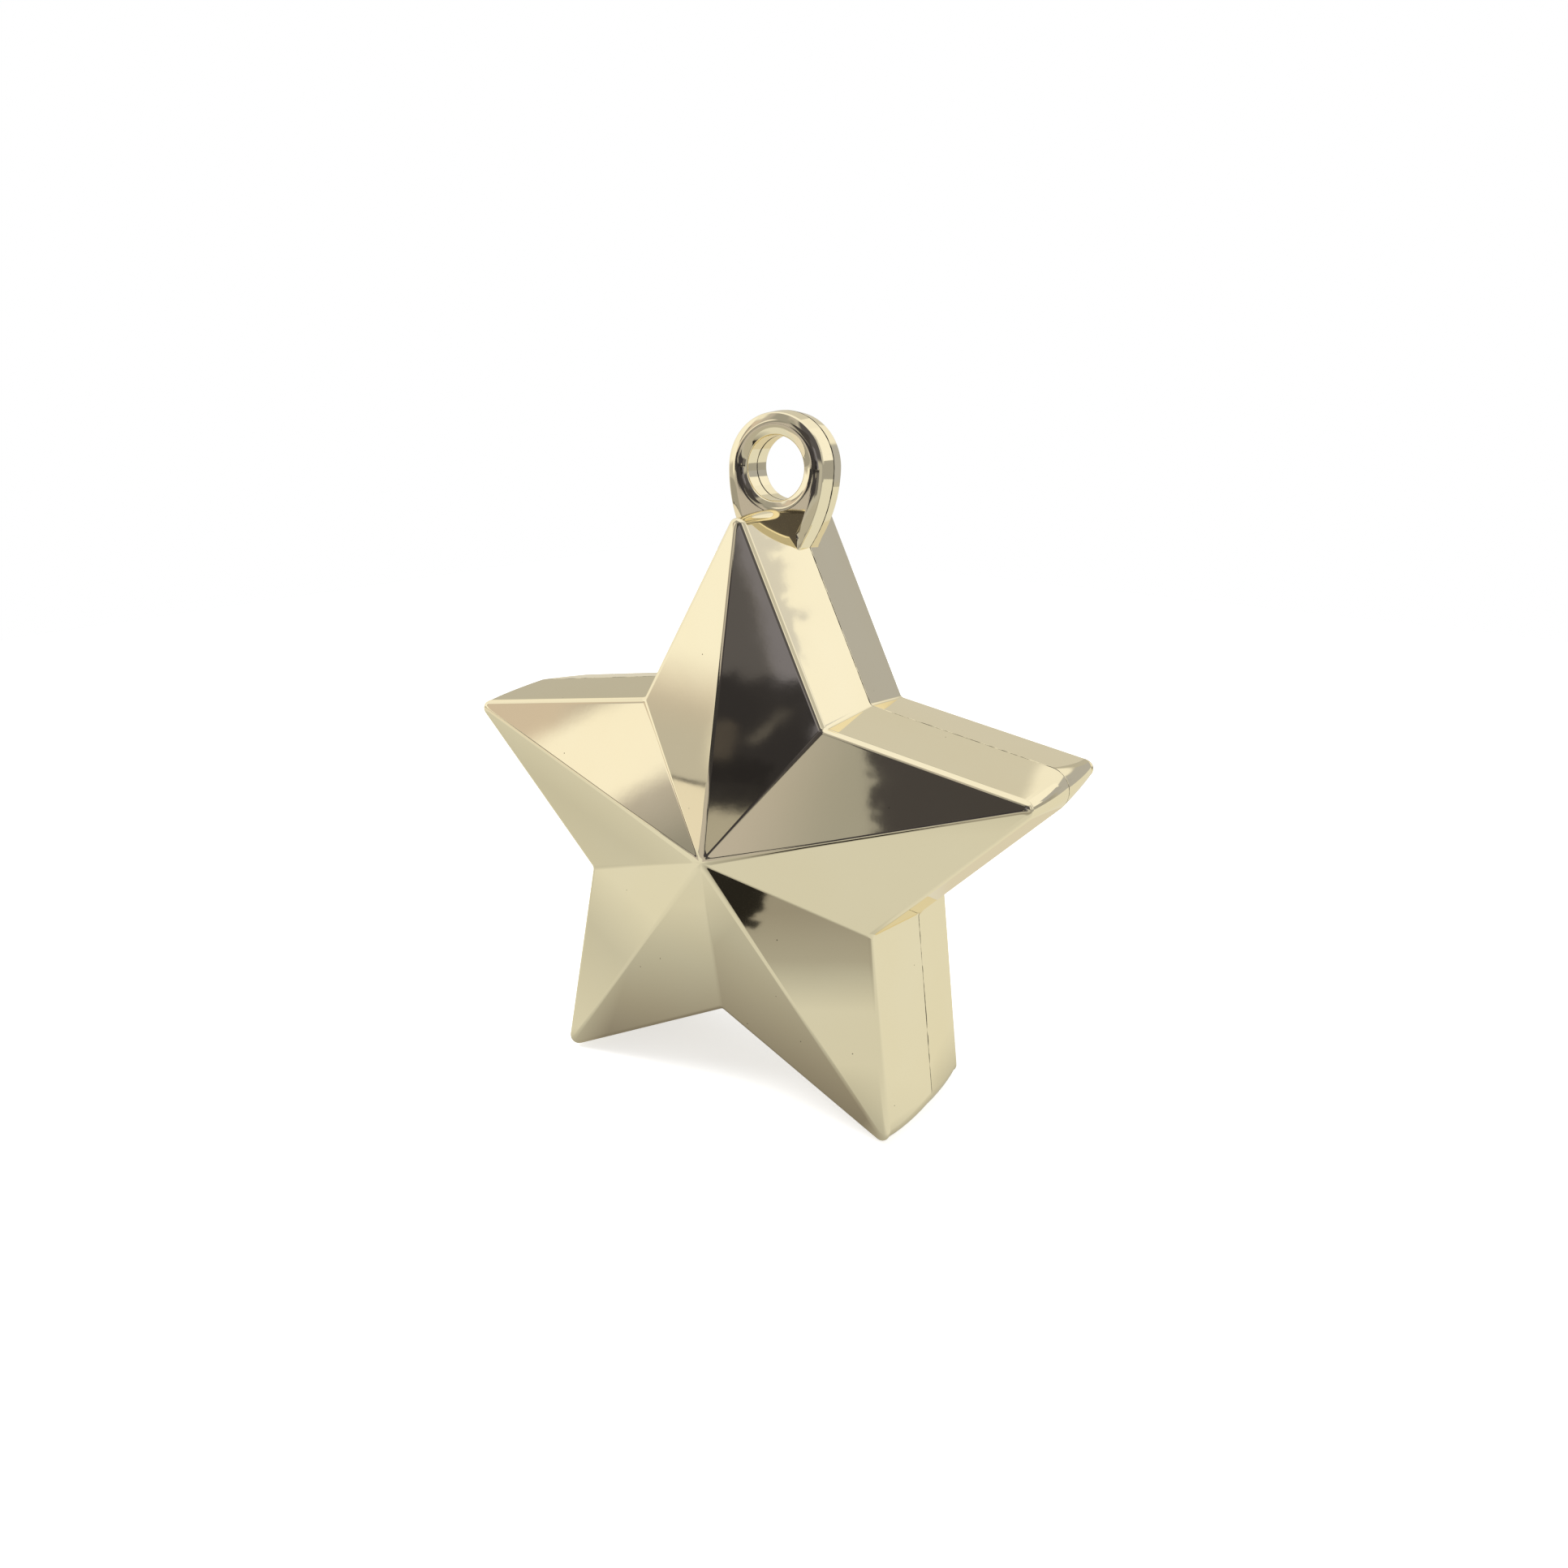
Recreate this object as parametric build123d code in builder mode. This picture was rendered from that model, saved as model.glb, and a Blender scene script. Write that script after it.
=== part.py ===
"""Balloon weight: a faceted star of two plated half shells, glued round the middle and filled with cast mortar.

Millimetres, +Z up. The star's front faces -Y and it stands on its two lower points at z = 0. A ring on the top
point takes the balloon ribbon. The two halves part at the plane y = 0.
"""
from build123d import *
import math
import os

# Star outline in the parting plane, measured to the sharp corners before they are rounded
ARMS = 5
TIP_RADIUS = 46.0
NOTCH_RADIUS = 23.6
TIP_ROUND = 2.6
NOTCH_ROUND = 0.8

# Half star, from the parting plane outwards: drafted side walls, then facets that rise to one apex
SIDE_DEPTH = 11.35
FACET_RISE = 6.35
DRAFT_ANGLE = 5.7
RIDGE_ROUND = 1.4
EDGE_ROUND = 0.9
FOOT_CUT = 0.35

# Ribbon ring, its centre measured upwards from the sharp corner of the top arm
RING_RISE = 1.6
RING_RADIUS = 7.0
RING_HALF_THICKNESS = 2.8
RING_EDGE_ROUND = 0.9
NECK_LENGTH = 10.6
NECK_HALF_WIDTH = 3.4
BORE_RADIUS = 4.0
BORE_EDGE_ROUND = 1.0

# Shell wall, and the tongue of the front shell that sits in a rebate of the back shell
WALL = 1.8
TONGUE_THICKNESS = 0.85
TONGUE_HEIGHT = 1.4
TONGUE_CLEARANCE = 0.1
ADHESIVE_THICKNESS = 0.4

# Cast filling of each shell
BALLAST_CLEARANCE = 0.15
BALLAST_BELOW_RIM = 0.25

# Least corner radius of the hollow and of what fills it
LEAST_ROUND = 0.3

# Every edge of the star lies at one distance from its centre, so moving all edges inwards only scales it
STEP = math.pi / ARMS
HALF_TIP = math.atan2(NOTCH_RADIUS * math.sin(STEP), TIP_RADIUS - NOTCH_RADIUS * math.cos(STEP))
EDGE_DISTANCE = TIP_RADIUS * math.sin(HALF_TIP)
DRAFT_SLOPE = math.tan(math.radians(DRAFT_ANGLE))
FACET_ANGLE = math.atan2(FACET_RISE, EDGE_DISTANCE - SIDE_DEPTH * DRAFT_SLOPE)
RING_HEIGHT = TIP_RADIUS + RING_RISE

# Height of the star's centre over the floor: down to the rounded lower points, less what the feet lose
TIP_ROUND_CENTRE = TIP_RADIUS - TIP_ROUND / math.sin(HALF_TIP)
CENTRE_HEIGHT = TIP_ROUND_CENTRE * math.cos(STEP) + TIP_ROUND - FOOT_CUT

# The parting plane seen from the front: local X is right, local Y is up and local Z comes forwards
PARTING = Plane(origin=(0, 0, CENTRE_HEIGHT), x_dir=(1, 0, 0), z_dir=(0, -1, 0))


def star_outline(depth, inset, tip_round, notch_round):
    """Rounded star at a depth in front of the parting plane, its edges moved inwards by inset."""
    scale = 1 - inset / EDGE_DISTANCE
    radii = (TIP_RADIUS * scale, NOTCH_RADIUS * scale)
    corners = [(radii[i % 2] * math.sin(i * STEP), radii[i % 2] * math.cos(i * STEP)) for i in range(2 * ARMS)]
    with BuildSketch(PARTING.offset(depth)) as outline:
        with BuildLine():
            Polyline(*corners, close=True)
        make_face()
        fillet(outline.vertices().sort_by_distance((0, 0))[:ARMS], notch_round)
        fillet(outline.vertices().sort_by_distance((0, 0))[-ARMS:], max(tip_round, LEAST_ROUND))
    return outline.sketch


def star_half(inset, mode=Mode.ADD):
    """Half a star in front of the parting plane, with every face moved inwards by inset."""
    side_depth = SIDE_DEPTH - inset * (1 / math.cos(FACET_ANGLE) - math.tan(FACET_ANGLE))
    front_inset = inset + side_depth * DRAFT_SLOPE
    apex_depth = side_depth + (EDGE_DISTANCE - front_inset) * math.tan(FACET_ANGLE)
    rim = star_outline(0, inset, TIP_ROUND - inset, NOTCH_ROUND + inset)
    front = star_outline(side_depth, front_inset, RIDGE_ROUND - inset, NOTCH_ROUND + inset)
    apex = Vertex(*PARTING.from_local_coords((0, 0, apex_depth)))
    loft([rim.face(), front.face(), apex], ruled=True, mode=mode)


def rim_plate(inset, depth, thickness, mode=Mode.ADD):
    """Flat star plate behind the parting plane, from depth backwards, its edge at inset from the rim."""
    outline = star_outline(-depth, inset, TIP_ROUND - inset, NOTCH_ROUND + inset)
    extrude(outline, amount=-thickness, mode=mode)


# Front half of the ribbon ring: a round eye whose neck narrows into the top arm
with BuildPart() as ring_half:
    with BuildSketch(PARTING):
        with BuildLine():
            crown = ThreePointArc(
                (-RING_RADIUS, RING_HEIGHT), (0, RING_HEIGHT + RING_RADIUS), (RING_RADIUS, RING_HEIGHT)
            )
            neck_right = TangentArc(crown @ 1, (NECK_HALF_WIDTH, RING_HEIGHT - NECK_LENGTH), tangent=(0, -1))
            neck_left = TangentArc(crown @ 0, (-NECK_HALF_WIDTH, RING_HEIGHT - NECK_LENGTH), tangent=(0, -1))
            Line(neck_right @ 1, neck_left @ 1)
        make_face()
    extrude(amount=RING_HALF_THICKNESS, taper=DRAFT_ANGLE)
    fillet(ring_half.faces().sort_by(Axis.Y)[0].outer_wire().edges(), RING_EDGE_ROUND)
    with BuildSketch(PARTING):
        with Locations((0, RING_HEIGHT)):
            Circle(BORE_RADIUS)
    extrude(amount=RING_HALF_THICKNESS, mode=Mode.SUBTRACT)
    fillet(ring_half.faces().sort_by(Axis.Y)[0].inner_wires()[0].edges(), BORE_EDGE_ROUND)

# What both shells share: the rounded half star with its ring, hollow inside, on flat feet
with BuildPart() as half_shell:
    star_half(0)
    fillet(half_shell.edges().filter_by_position(Axis.Y, -SIDE_DEPTH, -SIDE_DEPTH), EDGE_ROUND)
    add(ring_half.part)
    star_half(WALL, mode=Mode.SUBTRACT)
    split(bisect_by=Plane.XY, keep=Keep.TOP)

# Front shell: the half shell with a tongue that stands up from the inner half of its rim
with BuildPart() as front_shell:
    rim_plate(WALL - TONGUE_THICKNESS, 0, TONGUE_HEIGHT)
    rim_plate(WALL, 0, TONGUE_HEIGHT, mode=Mode.SUBTRACT)
    add(half_shell.part)

# Back shell: the half shell turned round, with a rebate that takes the tongue and the adhesive
with BuildPart() as back_shell:
    mirror(half_shell.part, about=Plane.XZ)
    rim_plate(
        WALL - TONGUE_THICKNESS - TONGUE_CLEARANCE, 0, TONGUE_HEIGHT + ADHESIVE_THICKNESS, mode=Mode.SUBTRACT
    )

# Ballast: mortar cast in each shell and struck off level, just below the rim
with BuildPart() as front_ballast:
    star_half(WALL + BALLAST_CLEARANCE)
    split(bisect_by=Plane.XZ.offset(BALLAST_BELOW_RIM), keep=Keep.TOP)

with BuildPart() as back_ballast:
    mirror(front_ballast.part, about=Plane.XZ)

# Cured adhesive between the end of the tongue and the floor of the rebate
with BuildPart() as seam_adhesive:
    rim_plate(WALL - TONGUE_THICKNESS, TONGUE_HEIGHT, ADHESIVE_THICKNESS)
    rim_plate(WALL, TONGUE_HEIGHT, ADHESIVE_THICKNESS, mode=Mode.SUBTRACT)

pieces = {
    "front_shell": front_shell,
    "back_shell": back_shell,
    "front_ballast": front_ballast,
    "back_ballast": back_ballast,
    "seam_adhesive": seam_adhesive,
}
os.makedirs("parts", exist_ok=True)
for name, piece in pieces.items():
    piece.part.label = name
    export_step(piece.part, f"parts/{name}.step")
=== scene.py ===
"""Looks of the balloon weight: a faceted star in champagne-gold mirror plating.

Sizes are in millimetres up to where a mesh is made, and MM turns them to metres. The studio round
the star is a tent of pale and dark cards, because a mirror shows what stands round it.
"""
import math
from collections import namedtuple

import bmesh
import bpy
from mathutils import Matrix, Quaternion, Vector

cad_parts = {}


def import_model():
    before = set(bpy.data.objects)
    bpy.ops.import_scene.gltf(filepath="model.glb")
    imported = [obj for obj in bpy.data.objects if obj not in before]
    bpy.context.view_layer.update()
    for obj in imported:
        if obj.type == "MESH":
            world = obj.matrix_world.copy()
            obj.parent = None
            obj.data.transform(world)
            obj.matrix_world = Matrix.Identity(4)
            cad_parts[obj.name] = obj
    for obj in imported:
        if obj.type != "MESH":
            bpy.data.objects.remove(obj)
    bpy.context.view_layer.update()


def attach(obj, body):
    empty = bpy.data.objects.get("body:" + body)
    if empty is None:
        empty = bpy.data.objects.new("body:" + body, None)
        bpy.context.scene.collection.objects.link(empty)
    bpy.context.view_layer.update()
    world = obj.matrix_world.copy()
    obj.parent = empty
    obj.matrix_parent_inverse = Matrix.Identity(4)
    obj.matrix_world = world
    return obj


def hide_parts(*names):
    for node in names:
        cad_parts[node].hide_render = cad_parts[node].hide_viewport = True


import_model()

MM = 0.001

# Star, in millimetres, as the solids have it
ARMS = 5
TIP_RADIUS = 46.0
NOTCH_RADIUS = 23.6
TIP_ROUND = 2.6
NOTCH_ROUND = 0.8
SIDE_DEPTH = 11.35
FACET_RISE = 6.35
DRAFT = math.radians(5.7)
RIDGE_ROUND = 1.4
EDGE_ROUND = 0.9
FOOT_CUT = 0.35

# Ribbon ring
RING_RISE = 1.6
RING_RADIUS = 7.0
RING_HALF_THICKNESS = 2.8
NECK_LENGTH = 10.6
NECK_HALF_WIDTH = 3.4
BORE_RADIUS = 4.0

# Shell wall, its tongue and rebate, and what fills the hollow
WALL = 1.8
TONGUE_THICKNESS = 0.85
TONGUE_HEIGHT = 1.4
TONGUE_CLEARANCE = 0.1
ADHESIVE_THICKNESS = 0.4
BALLAST_CLEARANCE = 0.15
BALLAST_BELOW_RIM = 0.25
LEAST_ROUND = 0.3

# Finer forms, which only show close up. Seam: its rounded edges, and the arms' ends, which bulge
SEAM_ROUND = 0.13
SEAM_TIP_ROUND = 2.9
TIP_BULGE = 1.6

# Facets: a blunt apex, and narrow roundings of ridges and valleys, at most these shares of the way
# that is left to the apex
APEX_BLEND = 1.3
APEX_REACH = 7.0
APEX_RIDGE = 0.6
APEX_VALLEY = 0.35
RIDGE_LINE = 0.32
RIDGE_RUN = 1.2
MOST_RIDGE = 0.55
MOST_VALLEY = 0.5

# Ring: a crowned face between narrow edges, and a neck that sinks into a share of the arm's wall
RING_CROWN = math.radians(25)
RING_LINE = 0.35
CROWN_POWER = 1.6
CROWN_START = 0.9
NECK_SUNK = 0.28
NECK_FADE = 6

# Mortar with a hollow struck face, and the bead of adhesive
STRUCK_EDGE_ROUND = 0.6
STRUCK_DIP = 0.7
BEAD_ROUND = 0.12

# Steps of the round forms
TIP_STEPS = 14
NOTCH_STEPS = 5
EDGE_STEPS = 10
SEAM_STEPS = 4
WALL_STEPS = 6
RING_STEPS = 64
CROWN_STEPS = 9
NECK_STEPS = 18
NECK_SEARCH_STEPS = 400
BEND_STEPS = 16

# Rows on the facets, out from the apex in shares of APEX_BLEND and then up to the rounded edge in
# shares of RIDGE_RUN, and rows on the struck mortar, each a share of the way left to its middle
APEX_ROWS = (0, 0.2, 0.4, 0.6, 0.8, 1, 1.5, 2.5, 4, 5.4)
POINT_ROWS = (1.6, 1, 0.8, 0.6, 0.45, 0.3, 0.2, 0.1, 0)
STRUCK_ROWS = (0.3, 0.6, 0.85, 1)

# Points nearer than this are one, and faces that turn by fewer degrees are one rounding
JOIN_DISTANCE = 0.002
SOFTEN = 24
BEAD_SOFTEN = 40
TINY = 1e-6

# Angles and places worked out from these sizes
STEP = math.pi / ARMS
HALF_TIP = math.atan2(NOTCH_RADIUS * math.sin(STEP), TIP_RADIUS - NOTCH_RADIUS * math.cos(STEP))
HALF_NOTCH = STEP + HALF_TIP
EDGE_DISTANCE = TIP_RADIUS * math.sin(HALF_TIP)
FRONT_INSET = SIDE_DEPTH * math.tan(DRAFT)
FACET_ANGLE = math.atan2(FACET_RISE, EDGE_DISTANCE - FRONT_INSET)
TIP_ROUND_CENTRE = TIP_RADIUS - TIP_ROUND / math.sin(HALF_TIP)
CENTRE_HEIGHT = TIP_ROUND_CENTRE * math.cos(STEP) + TIP_ROUND - FOOT_CUT
RING_HEIGHT = TIP_RADIUS + RING_RISE
TONGUE_INSET = WALL - TONGUE_THICKNESS
REBATE_INSET = TONGUE_INSET - TONGUE_CLEARANCE
REBATE_DEPTH = TONGUE_HEIGHT + ADHESIVE_THICKNESS

# A Mix node's sockets for colours go by number, because those for numbers have the same names
SHARE, FIRST, SECOND = 0, 6, 7
MIXED = 2

# One closed outline of a star: its distance from the parting plane, and how far its edges are
# moved inwards
Row = namedtuple("Row", "depth inset tip_round notch_round")


def spread(first, last, steps):
    """Evenly spaced values from first to last, both included."""
    return [first + (last - first) * i / steps for i in range(steps + 1)]


def heading(angle):
    """Direction in the plane of the star, turned clockwise from straight up."""
    return Vector((math.sin(angle), math.cos(angle)))


def placed(point, depth, side):
    """A point of the star's plane at a depth, in metres. side is -1 in the front half, 1 behind."""
    return Vector((point.x, side * depth, point.y)) * MM


def mesh_of(name, shape):
    """A mesh with the faces of a bmesh, which is freed."""
    mesh = bpy.data.meshes.new(name)
    shape.to_mesh(mesh)
    shape.free()
    return mesh


def new_object(name, data):
    """An object for a mesh, a lamp or a camera, in the scene."""
    made = bpy.data.objects.new(name, data)
    bpy.context.scene.collection.objects.link(made)
    return made


def linear(hex_colour):
    """Linear colour with alpha from an sRGB hex value."""
    shares = [int(hex_colour[i:i + 2], 16) / 255 for i in (1, 3, 5)]
    return [s / 12.92 if s <= 0.04045 else ((s + 0.055) / 1.055) ** 2.4 for s in shares] + [1.0]


def add(tree, kind, inputs=None, **settings):
    """One node with its settings. Each input is a value, or a socket to link."""
    made = tree.nodes.new(kind)
    for name, value in settings.items():
        setattr(made, name, value)
    for key, value in (inputs or {}).items():
        if isinstance(value, bpy.types.NodeSocket):
            tree.links.new(value, made.inputs[key])
        else:
            made.inputs[key].default_value = value
    return made


# Materials

def new_material(name):
    """An empty material and its node tree."""
    made = bpy.data.materials.new(name)
    made.use_nodes = True
    made.node_tree.nodes.clear()
    return made, made.node_tree


def plated_abs():
    """Vacuum-metallised ABS under pale gold lacquer. The moulding gives a mirror with slow waves,
    the sprayed lacquer a fine orange peel, dust in it a few specks, and the gap at the parting line
    shows dark bare plastic."""
    material, tree = new_material("vacuum-metallised ABS, lacquered pale gold")
    place = add(tree, "ShaderNodeTexCoord").outputs["Object"]
    # Lacquer a little deeper in some places than in others, over about 14 mm
    depth = add(tree, "ShaderNodeTexNoise", {
        "Vector": place, "Scale": 1 / (14 * MM), "Detail": 2.0,
    })
    gold = add(tree, "ShaderNodeMix", {
        SHARE: depth.outputs[0], FIRST: linear("#FBF0CF"), SECOND: linear("#F8EBC5"),
    }, data_type="RGBA")
    # Dust specks about 0.15 mm across, in some of the cells of a 2.6 mm pattern
    cells = add(tree, "ShaderNodeTexVoronoi", {"Vector": place, "Scale": 1 / (2.6 * MM)})
    near = add(tree, "ShaderNodeMapRange", {
        "Value": cells.outputs["Distance"], "From Min": 0.022, "From Max": 0.036,
        "To Min": 1.0, "To Max": 0.0,
    })
    drawn = add(tree, "ShaderNodeSeparateColor", {0: cells.outputs["Color"]})
    some = add(tree, "ShaderNodeMath", {0: drawn.outputs[0], 1: 0.6}, operation="GREATER_THAN")
    speck = add(tree, "ShaderNodeMath", {
        0: near.outputs[0], 1: some.outputs[0],
    }, operation="MULTIPLY")
    dusty = add(tree, "ShaderNodeMix", {
        SHARE: speck.outputs[0], FIRST: gold.outputs[MIXED], SECOND: linear("#5E5546"),
    }, data_type="RGBA")
    # Gap at the parting line, its width uneven over about 1.5 mm
    across = add(tree, "ShaderNodeSeparateXYZ", {0: place})
    off_seam = add(tree, "ShaderNodeMath", {0: across.outputs["Y"]}, operation="ABSOLUTE")
    uneven = add(tree, "ShaderNodeTexNoise", {
        "Vector": place, "Scale": 1 / (1.5 * MM), "Detail": 3.0,
    })
    half_gap = add(tree, "ShaderNodeMapRange", {
        "Value": uneven.outputs[0], "From Min": 0.35, "From Max": 0.7,
        "To Min": 0.02 * MM, "To Max": 0.13 * MM,
    })
    # The halves of the ring stand a little further apart
    up = add(tree, "ShaderNodeMapRange", {
        "Value": across.outputs["Z"], "From Min": 72 * MM, "From Max": 76 * MM,
        "To Min": 0.0, "To Max": 0.06 * MM,
    })
    wide_gap = add(tree, "ShaderNodeMath", {
        0: half_gap.outputs[0], 1: up.outputs[0],
    }, operation="ADD")
    edge = add(tree, "ShaderNodeMath", {
        0: wide_gap.outputs[0], 1: off_seam.outputs[0],
    }, operation="SUBTRACT")
    gap = add(tree, "ShaderNodeMapRange", {
        "Value": edge.outputs[0], "From Min": -0.02 * MM, "From Max": 0.02 * MM,
    })
    colour = add(tree, "ShaderNodeMix", {
        SHARE: gap.outputs[0], FIRST: dusty.outputs[MIXED], SECOND: linear("#2B2622"),
    }, data_type="RGBA")
    # Gloss a little uneven over about 5 mm
    haze = add(tree, "ShaderNodeTexNoise", {"Vector": place, "Scale": 1 / (5 * MM), "Detail": 3.0})
    gloss = add(tree, "ShaderNodeMapRange", {
        "Value": haze.outputs[0], "From Min": 0.3, "From Max": 0.7, "To Min": 0.03, "To Max": 0.05,
    })
    # Slow waves of the moulding, about 9 mm long, then orange peel of about 1.6 mm
    sink = add(tree, "ShaderNodeTexNoise", {"Vector": place, "Scale": 1 / (9 * MM), "Detail": 1.0})
    peel = add(tree, "ShaderNodeTexNoise", {
        "Vector": place, "Scale": 1 / (1.6 * MM), "Detail": 2.0,
    })
    waves = add(tree, "ShaderNodeBump", {
        "Height": sink.outputs[0], "Strength": 1.0, "Distance": 0.010 * MM,
    })
    surface = add(tree, "ShaderNodeBump", {
        "Height": peel.outputs[0], "Strength": 1.0, "Distance": 0.0008 * MM,
        "Normal": waves.outputs[0],
    })
    shader = add(tree, "ShaderNodeBsdfPrincipled", {
        "Base Color": colour.outputs[MIXED], "Metallic": 1.0, "Roughness": gloss.outputs[0],
        "Normal": surface.outputs[0], "Specular Tint": linear("#FDF8E9"),
    })
    add(tree, "ShaderNodeOutputMaterial", {"Surface": shader.outputs[0]})
    return material


def cast_mortar():
    """Sand and cement mortar, cast and struck off: matt grey with sand grains of about 0.7 mm and
    small air pits."""
    material, tree = new_material("sand and cement mortar, cast")
    place = add(tree, "ShaderNodeTexCoord").outputs["Object"]
    grains = add(tree, "ShaderNodeTexVoronoi", {"Vector": place, "Scale": 1 / (0.7 * MM)})
    drawn = add(tree, "ShaderNodeSeparateColor", {0: grains.outputs["Color"]})
    # Cement paste, darker where it dried last, over about 8 mm
    damp = add(tree, "ShaderNodeTexNoise", {"Vector": place, "Scale": 1 / (8 * MM), "Detail": 4.0})
    paste = add(tree, "ShaderNodeMix", {
        SHARE: damp.outputs[0], FIRST: linear("#7E7A73"), SECOND: linear("#A09A90"),
    }, data_type="RGBA")
    # Grains of several colours, some of them bare of paste
    sand = add(tree, "ShaderNodeMix", {
        SHARE: drawn.outputs[1], FIRST: linear("#6B655B"), SECOND: linear("#B9AD97"),
    }, data_type="RGBA")
    bare = add(tree, "ShaderNodeMapRange", {
        "Value": drawn.outputs[0], "From Min": 0.55, "From Max": 0.6, "To Max": 0.7,
    })
    colour = add(tree, "ShaderNodeMix", {
        SHARE: bare.outputs[0], FIRST: paste.outputs[MIXED], SECOND: sand.outputs[MIXED],
    }, data_type="RGBA")
    # Air pits of about 1.2 mm between the grains
    pits = add(tree, "ShaderNodeTexNoise", {
        "Vector": place, "Scale": 1 / (1.2 * MM), "Detail": 4.0,
    })
    rough = add(tree, "ShaderNodeMapRange", {
        "Value": pits.outputs[0], "To Min": 0.8, "To Max": 1.0,
    })
    lumps = add(tree, "ShaderNodeBump", {
        "Height": grains.outputs["Distance"], "Distance": 0.12 * MM, "Strength": 0.6,
    })
    surface = add(tree, "ShaderNodeBump", {
        "Height": pits.outputs[0], "Distance": 0.2 * MM, "Strength": 0.7,
        "Normal": lumps.outputs[0],
    })
    shader = add(tree, "ShaderNodeBsdfPrincipled", {
        "Base Color": colour.outputs[MIXED], "Roughness": rough.outputs[0],
        "Normal": surface.outputs[0],
    })
    add(tree, "ShaderNodeOutputMaterial", {"Surface": shader.outputs[0]})
    return material


def cured_adhesive():
    """Two-part epoxy, squeezed out and cured: amber and glossy, streaked over about 3 mm, with
    trapped bubbles of about 0.3 mm."""
    material, tree = new_material("epoxy adhesive, cured")
    place = add(tree, "ShaderNodeTexCoord").outputs["Object"]
    streaks = add(tree, "ShaderNodeTexNoise", {
        "Vector": place, "Scale": 1 / (3 * MM), "Detail": 3.0, "Distortion": 1.5,
    })
    bubbles = add(tree, "ShaderNodeTexVoronoi", {"Vector": place, "Scale": 1 / (0.9 * MM)})
    amber = add(tree, "ShaderNodeMix", {
        SHARE: streaks.outputs[0], FIRST: linear("#C9AF6E"), SECOND: linear("#E2D3A2"),
    }, data_type="RGBA")
    inside = add(tree, "ShaderNodeMapRange", {
        "Value": bubbles.outputs["Distance"], "From Min": 0.12, "From Max": 0.2,
        "To Min": 0.6, "To Max": 0.0,
    })
    colour = add(tree, "ShaderNodeMix", {
        SHARE: inside.outputs[0], FIRST: amber.outputs[MIXED], SECOND: linear("#F1EAD2"),
    }, data_type="RGBA")
    gloss = add(tree, "ShaderNodeMapRange", {
        "Value": streaks.outputs[0], "To Min": 0.15, "To Max": 0.35,
    })
    ripple = add(tree, "ShaderNodeBump", {
        "Height": streaks.outputs[0], "Distance": 0.05 * MM, "Strength": 0.5,
    })
    shader = add(tree, "ShaderNodeBsdfPrincipled", {
        "Base Color": colour.outputs[MIXED], "Roughness": gloss.outputs[0], "IOR": 1.54,
        "Normal": ripple.outputs[0],
    })
    add(tree, "ShaderNodeOutputMaterial", {"Surface": shader.outputs[0]})
    return material


# Star-shaped pieces: one arm is a patch of rows, and a node tree sets five of them round the centre

ARM_COLUMNS = (
    [("notch", -1, s) for s in spread(0, -1, NOTCH_STEPS)]
    + [("tip", 0, s) for s in spread(-1, 1, TIP_STEPS)]
    + [("notch", 1, s) for s in spread(1, 0, NOTCH_STEPS)]
)


def outline_point(row, column):
    """Where a column of the top arm crosses a row, in the plane of the star."""
    kind, side, share = column
    scale = 1 - row.inset / EDGE_DISTANCE
    if kind == "tip":
        middle = TIP_RADIUS * scale - row.tip_round / math.sin(HALF_TIP)
        return heading(0) * middle + heading(share * (math.pi / 2 - HALF_TIP)) * row.tip_round
    middle = NOTCH_RADIUS * scale + row.notch_round / math.sin(HALF_NOTCH)
    turned = side * STEP + share * (math.pi / 2 - HALF_NOTCH)
    return heading(side * STEP) * middle - heading(turned) * row.notch_round


def arm_patch(name, rows, side, closed):
    """Mesh of one arm about the star's centre. Closed joins its last row to its first."""
    shape = bmesh.new()
    loops = []
    for row in rows:
        at_centre = row.inset > EDGE_DISTANCE - TINY
        points = [Vector((0, 0))] if at_centre else [outline_point(row, c) for c in ARM_COLUMNS]
        loops.append([shape.verts.new(placed(point, row.depth, side)) for point in points])
    following = loops[1:] + loops[:1] if closed else loops[1:]
    for first, second in zip(loops, following):
        for i in range(len(ARM_COLUMNS) - 1):
            corners = [first[min(i, len(first) - 1)], first[min(i + 1, len(first) - 1)],
                       second[min(i + 1, len(second) - 1)], second[min(i, len(second) - 1)]]
            shape.faces.new(list(dict.fromkeys(corners)))
    return mesh_of(name, shape)


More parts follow.
